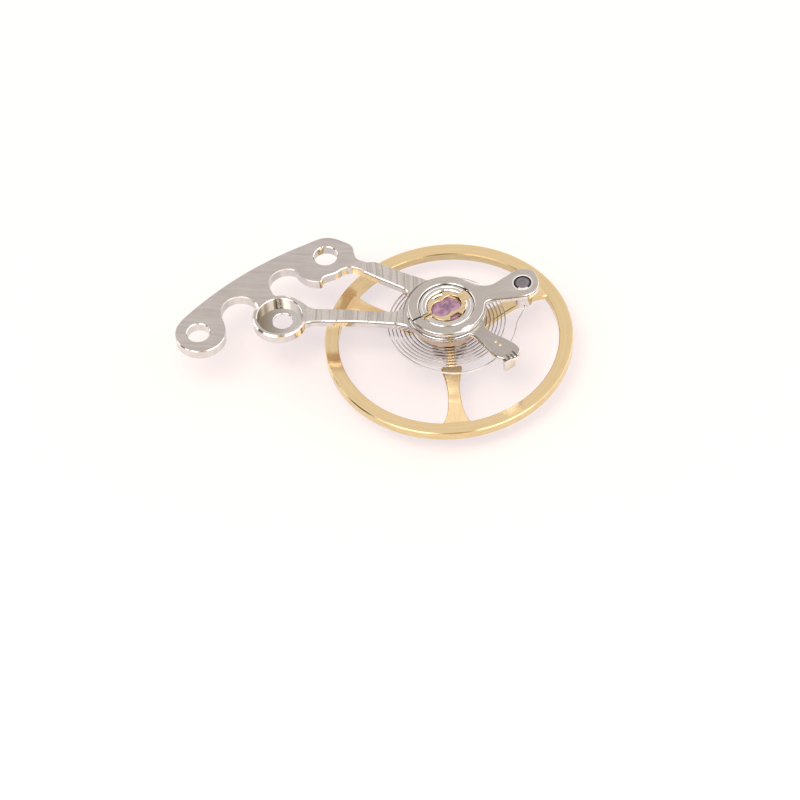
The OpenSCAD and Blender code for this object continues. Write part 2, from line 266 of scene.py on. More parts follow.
def cut(a, *others):
    for b in others:
        combine(a, b, "DIFFERENCE")
    return a


def smooth_line_at(f, x):
    """Linear interpolation in a table of (x, y)."""
    for (x0, y0), (x1, y1) in zip(f, f[1:]):
        if x <= x1:
            return y0 + (y1 - y0) * max(0, min(1, (x - x0) / (x1 - x0)))
    return f[-1][1]


def ease(t):
    u = max(0.0, min(1.0, t))
    return u * u * (3 - 2 * u)


# ---------------------------------------------------------------- materials
def new_material(name):
    m = bpy.data.materials.new(name)
    m.use_nodes = True
    nt = m.node_tree
    nt.nodes.clear()
    out = nt.nodes.new("ShaderNodeOutputMaterial")
    bsdf = nt.nodes.new("ShaderNodeBsdfPrincipled")
    nt.links.new(bsdf.outputs[0], out.inputs[0])
    return m, nt, bsdf


def node(nt, kind, inputs=None, **props):
    n = nt.nodes.new(kind)
    for k, v in props.items():
        setattr(n, k, v)
    for k, v in (inputs or {}).items():
        if isinstance(v, bpy.types.NodeSocket):
            nt.links.new(v, n.inputs[k])
        else:
            n.inputs[k].default_value = v
    return n


def place(nt):
    return node(nt, "ShaderNodeTexCoord").outputs["Object"]


def grain(nt, scale, detail=3.0, turn=0.0):
    """Noise stretched by the scale along each axis, in features a metre."""
    p = place(nt)
    if turn:
        p = node(nt, "ShaderNodeMapping", {"Vector": p, "Rotation": (0, 0, rad(-turn))}, vector_type="POINT").outputs[0]
    m = node(nt, "ShaderNodeMapping", {"Vector": p, "Scale": scale}, vector_type="POINT")
    return node(nt, "ShaderNodeTexNoise", {"Vector": m.outputs[0], "Scale": 1.0, "Detail": detail, "Roughness": 0.6}).outputs[0]


def lines(nt, centre, per_mm, detail=4.0, wobble=0.0):
    """Fine lines on circles about a centre: a tool's marks."""
    p = node(nt, "ShaderNodeVectorMath", {0: place(nt), 1: (-centre[0] * MM, -centre[1] * MM, 0)}, operation="ADD").outputs[0]
    p = node(nt, "ShaderNodeVectorMath", {0: p, 1: (1, 1, 0)}, operation="MULTIPLY").outputs[0]
    d = node(nt, "ShaderNodeVectorMath", {0: p}, operation="LENGTH").outputs["Value"]
    w = node(nt, "ShaderNodeMath", {0: d, 1: per_mm * 1000}, operation="MULTIPLY").outputs[0]
    if wobble:
        n = grain(nt, (900, 900, 900), 2.0)
        w = node(nt, "ShaderNodeMath", {0: n, 1: wobble, 2: w}, operation="MULTIPLY_ADD").outputs[0]
    return node(nt, "ShaderNodeTexNoise", {"W": w, "Scale": 1.0, "Detail": detail, "Roughness": 0.65}, noise_dimensions="1D").outputs[0]


def bands(nt, centre, per_mm, wobble=0.8):
    """Thin dark lines at uneven distances over broad soft ones: a milling cutter's marks."""
    thin = node(nt, "ShaderNodeMapRange", {"Value": lines(nt, centre, per_mm, 2.0, wobble), "From Min": 0.55, "From Max": 0.63, "To Min": 1.0, "To Max": 0.0},
                interpolation_type="SMOOTHSTEP").outputs[0]
    wide = node(nt, "ShaderNodeMapRange", {"Value": lines(nt, centre, per_mm * 0.3, 3.0, wobble), "From Min": 0.35, "From Max": 0.65, "To Min": 0.45, "To Max": 0.85}).outputs[0]
    return node(nt, "ShaderNodeMath", {0: thin, 1: wide}, operation="MULTIPLY").outputs[0]


def specks(nt, per_m, share=0.60):
    """1 with small spots of 0."""
    return node(nt, "ShaderNodeMapRange", {"Value": grain(nt, (per_m, per_m, per_m), 2.0), "From Min": share, "From Max": share + 0.05, "To Min": 1.0, "To Max": 0.0},
                interpolation_type="SMOOTHSTEP").outputs[0]


def spread(nt, value, low, high, a=0.3, b=0.7):
    return node(nt, "ShaderNodeMapRange", {"Value": value, "From Min": a, "From Max": b, "To Min": low, "To Max": high}).outputs[0]


def mixed(nt, fac, c1, c2):
    m = node(nt, "ShaderNodeMix", {}, data_type="RGBA")
    nt.links.new(fac, m.inputs[0])
    for i, c in ((6, c1), (7, c2)):
        if isinstance(c, bpy.types.NodeSocket):
            nt.links.new(c, m.inputs[i])
        else:
            m.inputs[i].default_value = (*c, 1)
    return m.outputs[2]


def outward(nt, r0, r1):
    """0 at the radius r0 round the staff, in metres, to 1 at r1."""
    flat = node(nt, "ShaderNodeVectorMath", {0: place(nt), 1: (1, 1, 0)}, operation="MULTIPLY").outputs[0]
    d = node(nt, "ShaderNodeVectorMath", {0: flat}, operation="LENGTH").outputs["Value"]
    return node(nt, "ShaderNodeMapRange", {"Value": d, "From Min": r0, "From Max": r1}).outputs[0]


def along_x(nt, x0, x1):
    x = node(nt, "ShaderNodeSeparateXYZ", {0: place(nt)}).outputs[0]
    return node(nt, "ShaderNodeMapRange", {"Value": x, "From Min": x0, "From Max": x1}).outputs[0]


def metal(name, dark, light, rough, marks, bump=1.0e-6, cloud=0.05, tint=None, metallic=1.0):
    """A metal whose colour, gloss and surface follow its tool marks. marks(nt) gives a value from 0 to 1.
    tint = (function, colour) mixes from that colour, where the function gives 0, to the metal's own, where it gives 1."""
    m, nt, bsdf = new_material(name)
    bsdf.inputs["Metallic"].default_value = metallic
    v = marks(nt)
    big = grain(nt, (1300, 1300, 1300), 3.0)
    f = node(nt, "ShaderNodeMath", {0: spread(nt, v, 0, 1), 1: spread(nt, big, -cloud * 4, cloud * 4)}, operation="ADD", use_clamp=True).outputs[0]
    base = mixed(nt, f, dark, light)
    if tint:
        base = mixed(nt, tint[0](nt), tint[1], base)
    nt.links.new(base, bsdf.inputs["Base Color"])
    fine = grain(nt, (30000, 30000, 30000), 2.0)
    r = node(nt, "ShaderNodeMath", {0: spread(nt, v, rough[1], rough[0]), 1: spread(nt, fine, -0.02, 0.03)}, operation="ADD", use_clamp=True).outputs[0]
    nt.links.new(r, bsdf.inputs["Roughness"])
    b = node(nt, "ShaderNodeBump", {"Height": v, "Distance": bump, "Strength": 1.0})
    nt.links.new(b.outputs[0], bsdf.inputs["Normal"])
    return m


NICKEL = (0.53, 0.497, 0.478)
NICKEL_HI = (0.67, 0.635, 0.61)
STEEL_HI = (0.80, 0.785, 0.76)
GOLD = (0.89, 0.70, 0.39)
GOLD_HI = (0.92, 0.74, 0.42)

bridge_satin = metal("bridge_satin", NICKEL, NICKEL_HI, (0.30, 0.40), lambda nt: grain(nt, (500, 6500, 6500), 4.0, -11), 0.9e-6)
bridge_milled = metal("bridge_milled", (0.50, 0.47, 0.44), (0.76, 0.72, 0.68), (0.26, 0.36), lambda nt: bands(nt, (-16, 2), 9.0), 1.2e-6)
# Painted shade: the bridge's underside is coloured dark brown to stand in for the shade under it, so the gold rim
# mirrors it dark.
bridge_under_painted_shade = metal("bridge_under_painted_shade", (0.44, 0.32, 0.20), (0.52, 0.39, 0.26), (0.22, 0.30), lambda nt: grain(nt, (500, 6500, 6500), 4.0, -11), 0.9e-6)
bridge_turned = metal("bridge_turned", NICKEL, STEEL_HI, (0.22, 0.32), lambda nt: lines(nt, (0, 0), 16.0, 4.0), 1.2e-6)
bridge_edge = metal("bridge_edge", (0.24, 0.22, 0.21), (0.90, 0.89, 0.87), (0.08, 0.12), lambda nt: specks(nt, 6500), 1.0e-6, 0.0)
# Painted reflection: the hub's side wall is coloured tan, standing in for the gold wheel and shaded floor it mirrors;
# the bridge's own metal is nickel.
hub_wall_painted_reflection = metal("hub_wall_painted_reflection", (0.585, 0.435, 0.305), (0.66, 0.50, 0.365), (0.26, 0.36), lambda nt: grain(nt, (3500, 3500, 12000), 3.0), 1.0e-6, metallic=0.3)
bridge_broken = metal("bridge_broken", (0.50, 0.475, 0.455), (0.62, 0.59, 0.57), (0.28, 0.38), lambda nt: grain(nt, (3000, 3000, 3000), 3.0), 1.0e-6)
# Painted shadow: near-black strips under top bevels, on the step where the arms meet the hub, and in the regulator's
# grooves.
bridge_painted_shadow_line = metal("bridge_painted_shadow_line", (0.12, 0.11, 0.105), (0.26, 0.245, 0.23), (0.20, 0.30), lambda nt: grain(nt, (5000, 5000, 5000), 2.0), 1.0e-6)
bridge_wall = metal("bridge_wall", (0.64, 0.625, 0.61), (0.74, 0.725, 0.71), (0.06, 0.12), lambda nt: grain(nt, (3500, 3500, 700), 2.0), 2.0e-6)
# Turning marks, plus a painted reflection and shade: the tint makes the recess floor darker and gold-brown towards -x.
recess_turned_painted_shade = metal("recess_turned_painted_shade", (0.62, 0.60, 0.58), (0.74, 0.72, 0.70), (0.08, 0.14), lambda nt: lines(nt, (-6.69, 0.53), 12.0, 3.0), 0.8e-6,
                      tint=(lambda nt: along_x(nt, -0.0074, -0.0062), (0.32, 0.27, 0.20)))
lever_satin = metal("lever_satin", (0.545, 0.515, 0.48), (0.63, 0.595, 0.56), (0.28, 0.36), lambda nt: grain(nt, (1500, 14000, 14000), 4.0, 20), 0.6e-6)
lever_dark = metal("lever_dark", (0.49, 0.455, 0.425), (0.57, 0.535, 0.50), (0.26, 0.34), lambda nt: grain(nt, (1500, 14000, 14000), 4.0, -40), 0.6e-6)
lever_edge = metal("lever_edge", (0.80, 0.78, 0.75), (0.90, 0.89, 0.87), (0.08, 0.15), lambda nt: grain(nt, (5000, 5000, 5000), 3.0), 0.3e-6)
block_turned = metal("block_turned", (0.62, 0.60, 0.58), (0.80, 0.78, 0.75), (0.16, 0.26), lambda nt: lines(nt, (0, 0), 24.0, 4.0), 1.0e-6)
stud_top = metal("stud_top", (0.12, 0.112, 0.125), (0.40, 0.37, 0.41), (0.10, 0.18), lambda nt: lines(nt, (3.12, 0.84), 7.0, 5.0, 0.5), 3.0e-6)
# Painted shade: a near-black outline round the stud's top and on its bottom; the bright side steel doubles as a painted
# highlight.
stud_rim_painted_shade = metal("stud_rim_painted_shade", (0.02, 0.02, 0.022), (0.06, 0.055, 0.06), (0.10, 0.16), lambda nt: grain(nt, (5000, 5000, 5000), 2.0), 0.3e-6)
stud_side_and_highlight = metal("stud_side_and_highlight", (0.74, 0.72, 0.70), (0.86, 0.84, 0.82), (0.07, 0.12), lambda nt: grain(nt, (3000, 3000, 9000), 3.0), 0.4e-6)
staff_steel = metal("staff_burnished", (0.46, 0.46, 0.48), (0.60, 0.60, 0.62), (0.10, 0.20), lambda nt: grain(nt, (1500, 1500, 26000), 4.0), 0.6e-6)
roller_steel = metal("roller_steel", (0.50, 0.50, 0.52), (0.64, 0.64, 0.66), (0.14, 0.24), lambda nt: lines(nt, (0, 0), 24.0, 3.0), 0.6e-6)
# Painted shade: the tint darkens the hairspring towards the staff, where it lies under the bridge hub.
spring_side_painted_shade = metal("spring_side_painted_shade", (0.80, 0.77, 0.75), (0.90, 0.88, 0.86), (0.12, 0.18), lambda nt: grain(nt, (2500, 2500, 18000), 3.0), 0.3e-6,
                    tint=(lambda nt: outward(nt, 0.0009, 0.0025), (0.20, 0.16, 0.145)))
spring_top_painted_shade = metal("spring_top_painted_shade", (0.52, 0.49, 0.47), (0.64, 0.61, 0.59), (0.16, 0.24), lambda nt: grain(nt, (2500, 2500, 18000), 3.0), 0.3e-6,
                   tint=(lambda nt: outward(nt, 0.0012, 0.0027), (0.13, 0.10, 0.095)))
wheel_satin = metal("wheel_satin", (0.80, 0.62, 0.35), (0.84, 0.67, 0.39), (0.13, 0.19), lambda nt: lines(nt, (0, 0), 9.0, 4.0, 0.6), 0.25e-6, metallic=0.85)
# Painted shade: the tint darkens the spokes towards the hub, under the bridge.
wheel_spoke_painted_shade = metal("wheel_spoke_painted_shade", (0.76, 0.58, 0.33), (0.82, 0.64, 0.38), (0.17, 0.25), lambda nt: grain(nt, (9000, 1500, 9000), 3.0), 0.15e-6,
                    tint=(lambda nt: outward(nt, 0.0008, 0.0021), (0.66, 0.49, 0.29)), metallic=0.5)
wheel_edge = metal("wheel_edge", (0.66, 0.53, 0.29), (0.76, 0.63, 0.37), (0.08, 0.16), lambda nt: grain(nt, (2000, 2000, 9000), 3.0), 1.5e-6)
wheel_line = metal("wheel_line", (0.42, 0.29, 0.13), (0.58, 0.43, 0.21), (0.15, 0.25), lambda nt: grain(nt, (3000, 3000, 6000), 3.0), 1.0e-6)
# Painted shade: the wheel's gold hub top is coloured dark brown, as it lies in shade under the bridge hub.
wheel_hub_painted_shade = metal("wheel_hub_painted_shade", (0.20, 0.12, 0.09), (0.31, 0.20, 0.15), (0.12, 0.20), lambda nt: lines(nt, (0, 0), 12.0, 3.0), 0.6e-6)
gilt = metal("gilt_polished", (0.86, 0.68, 0.36), (0.94, 0.78, 0.46), (0.12, 0.22), lambda nt: grain(nt, (6000, 6000, 6000), 3.0), 0.4e-6)
gilt_spring = metal("gilt_spring", (0.80, 0.61, 0.36), (0.94, 0.77, 0.50), (0.10, 0.18), lambda nt: grain(nt, (2500, 9000, 9000), 3.0, 30), 1.5e-6)
# Painted shade: a darker copy of the gilding for the jewel spring's side walls.
gilt_side_painted_shade = metal("gilt_side_painted_shade", (0.42, 0.27, 0.12), (0.62, 0.43, 0.20), (0.12, 0.20), lambda nt: grain(nt, (6000, 6000, 6000), 3.0), 0.4e-6)
# Painted light: the regulator's bent-down lip is a paler copy of the lever's steel, lighter where it faces the bright
# floor.
lever_lip_painted_light = metal("lever_lip_painted_light", (0.68, 0.69, 0.74), (0.80, 0.81, 0.86), (0.28, 0.36), lambda nt: grain(nt, (4000, 4000, 4000), 3.0), 1.0e-6)


def jewel(name, dark, light, clear):
    m, nt, bsdf = new_material(name)
    p = place(nt)
    flat = node(nt, "ShaderNodeVectorMath", {0: p, 1: (1, 1, 0)}, operation="MULTIPLY").outputs[0]
    d = node(nt, "ShaderNodeVectorMath", {0: flat}, operation="LENGTH").outputs["Value"]
    ring = node(nt, "ShaderNodeMapRange", {"Value": d, "From Min": 0.00010, "From Max": 0.00055, "To Min": 0.0, "To Max": 0.8}).outputs[0]
    cloud = grain(nt, (5200, 5200, 5200), 4.0)
    f = node(nt, "ShaderNodeMath", {0: ring, 1: spread(nt, cloud, -0.5, 0.5)}, operation="ADD", use_clamp=True).outputs[0]
    nt.links.new(mixed(nt, f, dark, light), bsdf.inputs["Base Color"])
    bsdf.inputs["IOR"].default_value = 1.76
    bsdf.inputs["Transmission Weight"].default_value = clear
    bsdf.inputs["Coat Weight"].default_value = 0.6
    bsdf.inputs["Coat Roughness"].default_value = 0.03
    nt.links.new(spread(nt, cloud, 0.08, 0.20), bsdf.inputs["Roughness"])
    b = node(nt, "ShaderNodeBump", {"Height": cloud, "Distance": 2.0e-6, "Strength": 1.0})
    nt.links.new(b.outputs[0], bsdf.inputs["Normal"])
    return m


cap_ruby = jewel("cap_ruby", (0.19, 0.085, 0.17), (0.60, 0.345, 0.50), 0.25)
ruby = jewel("ruby", (0.45, 0.03, 0.10), (0.75, 0.12, 0.26), 0.35)


def cement_material():
    m, nt, bsdf = new_material("cement")
    v = grain(nt, (9000, 9000, 9000), 3.0)
    nt.links.new(mixed(nt, v, (0.28, 0.15, 0.05), (0.52, 0.33, 0.13)), bsdf.inputs["Base Color"])
    nt.links.new(spread(nt, v, 0.22, 0.36), bsdf.inputs["Roughness"])
    b = node(nt, "ShaderNodeBump", {"Height": v, "Distance": 3.0e-6, "Strength": 1.0})
    nt.links.new(b.outputs[0], bsdf.inputs["Normal"])
    return m


cement = cement_material()


def finish_piece(ob, body, replaces, materials, choose=None, angle=28):
    """Scales the piece to metres, smooths its round faces, gives each face its material and hangs it on its body."""
    me = ob.data
    me.materials.clear()
    for m in materials:
        me.materials.append(m)
    if choose:
        index = np.zeros(len(me.polygons), np.int32)
        for p in me.polygons:
            index[p.index] = choose(p.center, p.normal)
        me.polygons.foreach_set("material_index", index)
    else:
        me.polygons.foreach_set("material_index", np.zeros(len(me.polygons), np.int32))
    me.transform(Matrix.Scale(MM, 4))
    me.shade_smooth()
    me.set_sharp_from_angle(angle=rad(angle))
    me.update()
    if body:
        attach(ob, body)
    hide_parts(*replaces)
    bm = bmesh.new()
    bm.from_mesh(me)
    bad = sum(1 for e in bm.edges if len(e.link_faces) != 2)
    bm.free()
    if bad:
        print("OPEN EDGES", ob.name, bad)
    return ob


# ---------------------------------------------------------------- balance bridge
SCREW, SCREW_HOLE, DOWEL1, DOWEL2 = (-6.69, 0.53), (-6.58, 0.51), (-9.97, 0.01), (-4.66, 3.49)
bridge_outline = smooth(
    arc((-9.88, 0.02), 1.02, 14, -222, 90)
    + arc((-0.29, -9.06), 14.243, 136.4, 110.7, 60)
    + [(-5.02, 4.40), (-4.72, 4.48), (-4.44, 4.47), (-4.16, 4.36), (-3.90, 4.20), (-3.67, 4.04), (-3.55, 3.88),
       (-3.51, 3.70), (-3.49, 3.48), (-3.44, 3.28), (-3.33, 3.14), (-3.16, 3.06),
       (-2.96, 3.04), (-2.76, 3.04), (-2.55, 2.95), (-2.22, 2.75), (-1.64, 2.36), (-1.25, 2.14), (-0.87, 1.94), (-0.60, 1.76), (-0.42, 1.58)]
    + arc((0, 0), 1.30, 102, -154, 60)
    + [(-1.46, -0.60), (-1.66, -0.52), (-1.90, -0.42), (-3.41, -0.10), (-4.60, 0.06), (-5.40, 0.14), (-5.58, 0.10)]
    + arc(SCREW, 1.09, -24, -206, 80)
    + arc((-8.28, 0.98), 0.72, 0, 186, 70)
    + [(-8.99, 0.72), (-8.93, 0.50), (-8.90, 0.36)])
window_outline = smooth(
    arc((-6.29, 2.22), 0.73, 60, 232, 66)
    + arc(SCREW, 1.12, 92, 44, 24)
    + [(-5.72, 1.22), (-5.58, 1.06), (-5.44, 0.92), (-5.26, 0.83), (-5.00, 0.78), (-4.16, 0.66), (-3.37, 0.50), (-2.58, 0.37), (-2.16, 0.31), (-1.98, 0.32), (-1.86, 0.40)]
    + arc((0, 0), 1.82, 165, 146, 16)
    + [(-1.50, 1.18), (-1.56, 1.36), (-1.72, 1.52), (-2.08, 1.77), (-2.47, 2.03), (-2.85, 2.30), (-3.23, 2.57), (-3.46, 2.71), (-3.66, 2.78),
       (-3.86, 2.77), (-4.05, 2.70), (-4.23, 2.58), (-4.43, 2.50), (-4.70, 2.42), (-4.84, 2.34), (-4.90, 2.16),
       (-5.20, 2.17), (-5.45, 2.28), (-5.64, 2.44), (-5.82, 2.66)])
foot_area = [(-11.5, -1.5), (-6.12, -1.5)] + arc(SCREW, 1.14, -60, 62, 60) + [(-5.9, 1.75), (-3.3, 1.9), (-2.9, 3.9), (-2.9, 5), (-11.5, 5)]


def hole_cutter(at, r, z0, z1, bevel, n=128):
    return lathe("cut", [(0, z0 - 1), (r + bevel + 0.5, z0 - 1), (r + bevel + 0.5, z0 - 0.5), (r + bevel, z0 - 0.001), (r, z0 + bevel),
                         (r, z1 - bevel), (r + bevel, z1 + 0.001), (r + bevel + 0.5, z1 + 0.5), (r + bevel + 0.5, z1 + 1), (0, z1 + 1)], n, at)


def foot_bevel(x, y):
    boss = math.exp(-((max(0, math.hypot(x - SCREW[0], y - SCREW[1]) - 1.15) / 0.25) ** 2))
    return 0.030 + 0.034 * boss


bridge = plate("bridge_plate", bridge_outline, [window_outline], 2.88, 3.32, foot_bevel, 0.022)
combine(bridge, plate("area", foot_area, [], 2.0, 3.50, 0.50, 0.0, 0.25, 0.0), "INTERSECT")
cut(bridge, lathe("relief", [(0, 2.0), (5.2, 2.0), (5.2, 2.90), (0, 2.90)], 256))
add(bridge,
    plate("arms", bridge_outline, [window_outline], 2.90, 3.26, 0.045, 0.02, 0.055, 0.02, 0.05),
    lathe("hub", [(0, 2.80), (1.42, 2.80), (1.45, 2.83), (1.45, 3.22), (0, 3.22)], 192))
cut(bridge,
    lathe("seat", [(0, 3.16), (1.79, 3.16), (1.79, 4), (0, 4)], 192, (0.05, 0.11)),
    lathe("bore", [(0, 2), (0.90, 2), (0.90, 4), (0, 4)], 160),
    hole_cutter(SCREW_HOLE, 0.40, 2.88, 3.00, 0.02),
    lathe("head", [(0, 3.00), (0.90, 3.00), (0.90, 3.295), (0.93, 3.325), (0.93, 4), (0, 4)], 160, SCREW),
    hole_cutter(DOWEL1, 0.46, 2.88, 3.32, 0.03),
    hole_cutter(DOWEL2, 0.48, 2.88, 3.32, 0.03))


def broken_edge(c):
    """Edges of the foot that are only broken, not polished."""
    if c.x > -5.0 or c.z < 3.1 or math.dist((c.x, c.y), SCREW) < 1.25:
        return False
    if math.dist((c.x, c.y), DOWEL1) < 0.62 or math.dist((c.x, c.y), DOWEL2) < 0.62:
        return False
    return not (c.x < -8.6 and c.y < -0.35)


def bridge_face(c, n):
    if n.z > 0.985:
        if c.z < 3.05:
            return 5
        if c.z > 3.30:
            return 0
        return 1 if c.z > 3.24 else 2
    # undersides: painted shade (dark brown)
    if n.z < -0.985:
        return 7
    foot_end = c.z > 3.255 and (c.x > -3.6 or (c.x > SCREW[0] + 0.5 and abs(math.hypot(c.x - SCREW[0], c.y - SCREW[1]) - 1.10) < 0.14))
    if foot_end:
        return 0
    if abs(n.z) > 0.25:
        return 9 if broken_edge(c) else 3
    out = math.hypot(c.x, c.y)
    # painted shadow lines: the strip under the arms' top bevel and the step wall at the hub
    if out > 1.9 and 3.152 < c.z < 3.208 and math.hypot(c.x - SCREW[0], c.y - SCREW[1]) > 0.95:
        return 6
    if 1.65 < out < 1.95 and 3.17 < c.z < 3.25:
        return 6
    # hub side walls: painted reflection (tan)
    if out < 1.5:
        return 8
    return 4


finish_piece(bridge, "bridge", ["balance_bridge"],
             [bridge_satin, bridge_milled, bridge_turned, bridge_edge, bridge_wall, recess_turned_painted_shade, bridge_painted_shadow_line, bridge_under_painted_shade, hub_wall_painted_reflection, bridge_broken], bridge_face)

# ---------------------------------------------------------------- upper jewel
JEWEL_DIR = 30
shock_block = lathe("jewel_block", [
    (0.26, 2.80), (0.87, 2.80), (0.90, 2.83), (0.90, 3.16), (1.10, 3.16), (1.10, 3.65), (1.07, 3.68), (0.985, 3.68), (0.965, 3.668), (0.845, 3.668),
    (0.80, 3.63), (0.80, 3.50), (0.74, 3.46), (0.74, 3.00), (0.40, 3.00), (0.26, 2.90)], 192)
cut(shock_block,
    block("notch", (0.50, 0.50, 1.0), (0.95 * math.cos(rad(JEWEL_DIR)), 0.95 * math.sin(rad(JEWEL_DIR)), 4.06), JEWEL_DIR),
    block("notch", (0.50, 0.28, 1.0), (0.95 * math.cos(rad(JEWEL_DIR + 180)), 0.95 * math.sin(rad(JEWEL_DIR + 180)), 4.06), JEWEL_DIR))
finish_piece(shock_block, "bridge", ["shock_block"], [block_turned, lever_edge],
             lambda c, n: 0 if abs(n.z) > 0.985 else 1)

SPRING_LOW, SPRING_TOP = 3.60, 3.65
spring_ring = plate("jewel_spring_frame", circle((0, 0), 0.76, 144), [], SPRING_LOW, SPRING_TOP, 0.012, 0.008)
add(spring_ring,
    plate("tab", smooth([(0.66, -0.22), (1.03, -0.22), (1.07, -0.18), (1.07, 0.18), (1.03, 0.22), (0.66, 0.22)], 0.03), [], SPRING_LOW, SPRING_TOP, 0.012, 0.008),
    plate("tab", [(-1.04, -0.11), (-0.68, -0.11), (-0.68, 0.11), (-1.04, 0.11)], [], SPRING_LOW, SPRING_TOP, 0.012, 0.008))
for x in (0.24, -0.24):
    cut(spring_ring, lathe("lobe", [(0, 3.5), (0.405, 3.5), (0.405, SPRING_TOP - 0.015), (0.42, SPRING_TOP + 0.001), (0.42, 3.8), (0, 3.8)], 96, (x, 0)))
cut(spring_ring, block("slot", (0.56, 0.07, 0.3), (-0.84, 0, 3.62)))
for k in (1, -1):
    cut(spring_ring, plate("bay", turned_by([(-0.36, 0.85), (-0.19, 0.55), (0.19, 0.55), (0.36, 0.85)], 90 - 90 * k), [], 3.5, 3.8, 0, 0))
spring_ring.data.transform(Matrix.Rotation(rad(JEWEL_DIR), 4, "Z"))
finish_piece(spring_ring, "jewel_spring", ["shock_spring"], [gilt_spring, gilt_side_painted_shade], lambda c, n: 0 if abs(n.z) > 0.4 else 1)

chaton = lathe("jewel_setting", [(0.34, 3.005), (0.65, 3.005), (0.70, 3.055), (0.70, 3.43), (0.67, 3.46), (0.625, 3.46), (0.61, 3.445), (0.61, 3.20), (0.34, 3.20)], 128)
finish_piece(chaton, "jewel_setting", ["jewel_chaton"], [gilt])
hole = lathe("pierced_jewel", [(0.058, 3.06), (0.058, 3.12), (0.08, 3.15), (0.16, 3.185), (0.34, 3.185), (0.34, 3.03), (0.14, 3.03), (0.09, 3.038)], 96)
finish_piece(hole, "jewel_setting", ["hole_jewel"], [ruby])
cap = lathe("end_stone", [(0, 3.22), (0.57, 3.22), (0.61, 3.26), (0.61, 3.46)]
            + [(0.61 * (1 - i / 16), 3.46 + 0.085 * (1 - (1 - i / 16) ** 2)) for i in range(1, 17)], 128)
finish_piece(cap, "jewel_setting", ["cap_jewel"], [cap_ruby])

# ---------------------------------------------------------------- regulator
regulator_arm = [(0.86, -1.40), (1.02, -1.54), (1.25, -1.86), (1.47, -2.20), (1.65, -2.48), (1.78, -2.66), (1.92, -2.76),
                 (2.10, -2.81), (2.36, -2.82), (2.55, -2.76), (2.68, -2.62), (2.74, -2.44), (2.70, -2.28), (2.60, -2.13), (2.44, -1.97), (2.22, -1.79),
                 (1.91, -1.57), (1.66, -1.35), (1.50, -1.13), (1.43, -0.90)]
regulator_plan = smooth(arc((0, 0), 1.58, -26, 300, 150) + regulator_arm, 0.05)
regulator = plate("regulator_lever", regulator_plan, [], 3.24, 3.44, 0.022, 0.015, line=0.05)
add(regulator, lathe("collar", [(0, 3.18), (1.555, 3.18), (1.58, 3.205), (1.58, 3.36), (0, 3.36)], 192))
add(regulator, block("lip", (0.16, 0.52, 0.60), (2.30 - 0.04 * math.cos(rad(-58)), -2.80 - 0.04 * math.sin(rad(-58)), 3.08), -58, 0.03))
cut(regulator,
    lathe("clip", [(0, 3), (1.13, 3), (1.13, 3.42), (1.155, 3.445), (1.155, 4), (0, 4)], 160),
    block("slit", (1.0, 0.12, 1.2), (1.5 * math.cos(rad(192)), 1.5 * math.sin(rad(192)), 3.6), 192))
tip_x, tip_y = (math.cos(rad(-58)), math.sin(rad(-58))), (-math.sin(rad(-58)), math.cos(rad(-58)))
for k in (-1, 0, 1):
    along, side = 0.20, k * 0.15
    cut(regulator, block("groove", (0.42, 0.085, 0.20), (2.30 + tip_x[0] * along + tip_y[0] * side, -2.56 + tip_x[1] * along + tip_y[1] * side, 3.465), -58, 0.02))
PIN_DIR = -46.8
pins = {}
for name, r in (("curb_pin_inner", 2.65), ("curb_pin_outer", 2.89)):
    at = (r * math.cos(rad(PIN_DIR)), r * math.sin(rad(PIN_DIR)))
    cut(regulator, lathe("hole", [(0, 3), (0.045, 3), (0.045, 3.43), (0.058, 3.445), (0.058, 4), (0, 4)], 32, at))
    pins[name] = lathe("pin_" + name[9:], [(0, 2.48), (0.030, 2.48), (0.0445, 2.495), (0.0445, 3.44), (0.030, 3.452), (0, 3.455)], 32, at)


def lever_face(c, n):
    return 0 if abs(n.z) > 0.985 else 1


def under_edge(c, n, top):
    """The strip under a lever's top bevel, painted near-black as a shadow line."""
    return abs(n.z) < 0.2 and abs(c.z - (top - 0.048)) < 0.006 and math.hypot(c.x, c.y) > 1.4


# index 2 paints the lip's sides a paler steel as painted light
# index 3 paints the groove floors and the strip under the top bevel near-black as shadow lines
finish_piece(regulator, "regulator", ["regulator"], [lever_dark, lever_edge, lever_lip_painted_light, bridge_painted_shadow_line],
             lambda c, n: 2 if c.z < 3.235 and math.hypot(c.x, c.y) > 1.8 and n.z > -0.9
             else 3 if (3.355 < c.z < 3.395 and n.z > 0.3 and math.hypot(c.x, c.y) > 2.6) or under_edge(c, n, 3.44) else lever_face(c, n))
for name, ob in pins.items():
    finish_piece(ob, "regulator", [name], [gilt])

# ---------------------------------------------------------------- stud holder
STUD = (3.12, 0.84)
holder_arm = [(1.60, 0.00), (1.76, 0.07), (2.24, 0.09), (2.64, 0.10), (3.04, 0.12), (3.32, 0.17), (3.54, 0.28), (3.70, 0.48), (3.77, 0.78), (3.74, 1.08), (3.62, 1.36),
              (3.42, 1.52), (3.16, 1.56), (2.92, 1.52), (2.72, 1.42), (2.52, 1.27), (2.31, 1.14), (2.10, 1.00), (1.89, 0.89), (1.69, 0.88), (1.50, 0.95),
              (1.30, 1.08), (1.10, 1.19), (0.95, 1.25)]
holder_plan = smooth(arc((0, 0), 1.53, 57, 356, 150) + holder_arm, 0.05)


def web_bevel(x, y):
    return 0.17 * math.exp(-(((x - 1.26) / 0.36) ** 2 + ((y - 1.16) / 0.36) ** 2))


def front_bevel(x, y):
    return 0.09 * smooth_line_at([(0, 0), (0.14, 1), (0.44, 1), (0.58, 0), (9, 0)], math.dist((x, y), (0.98, -1.17))) * (y < -1.0 and x < 1.0)


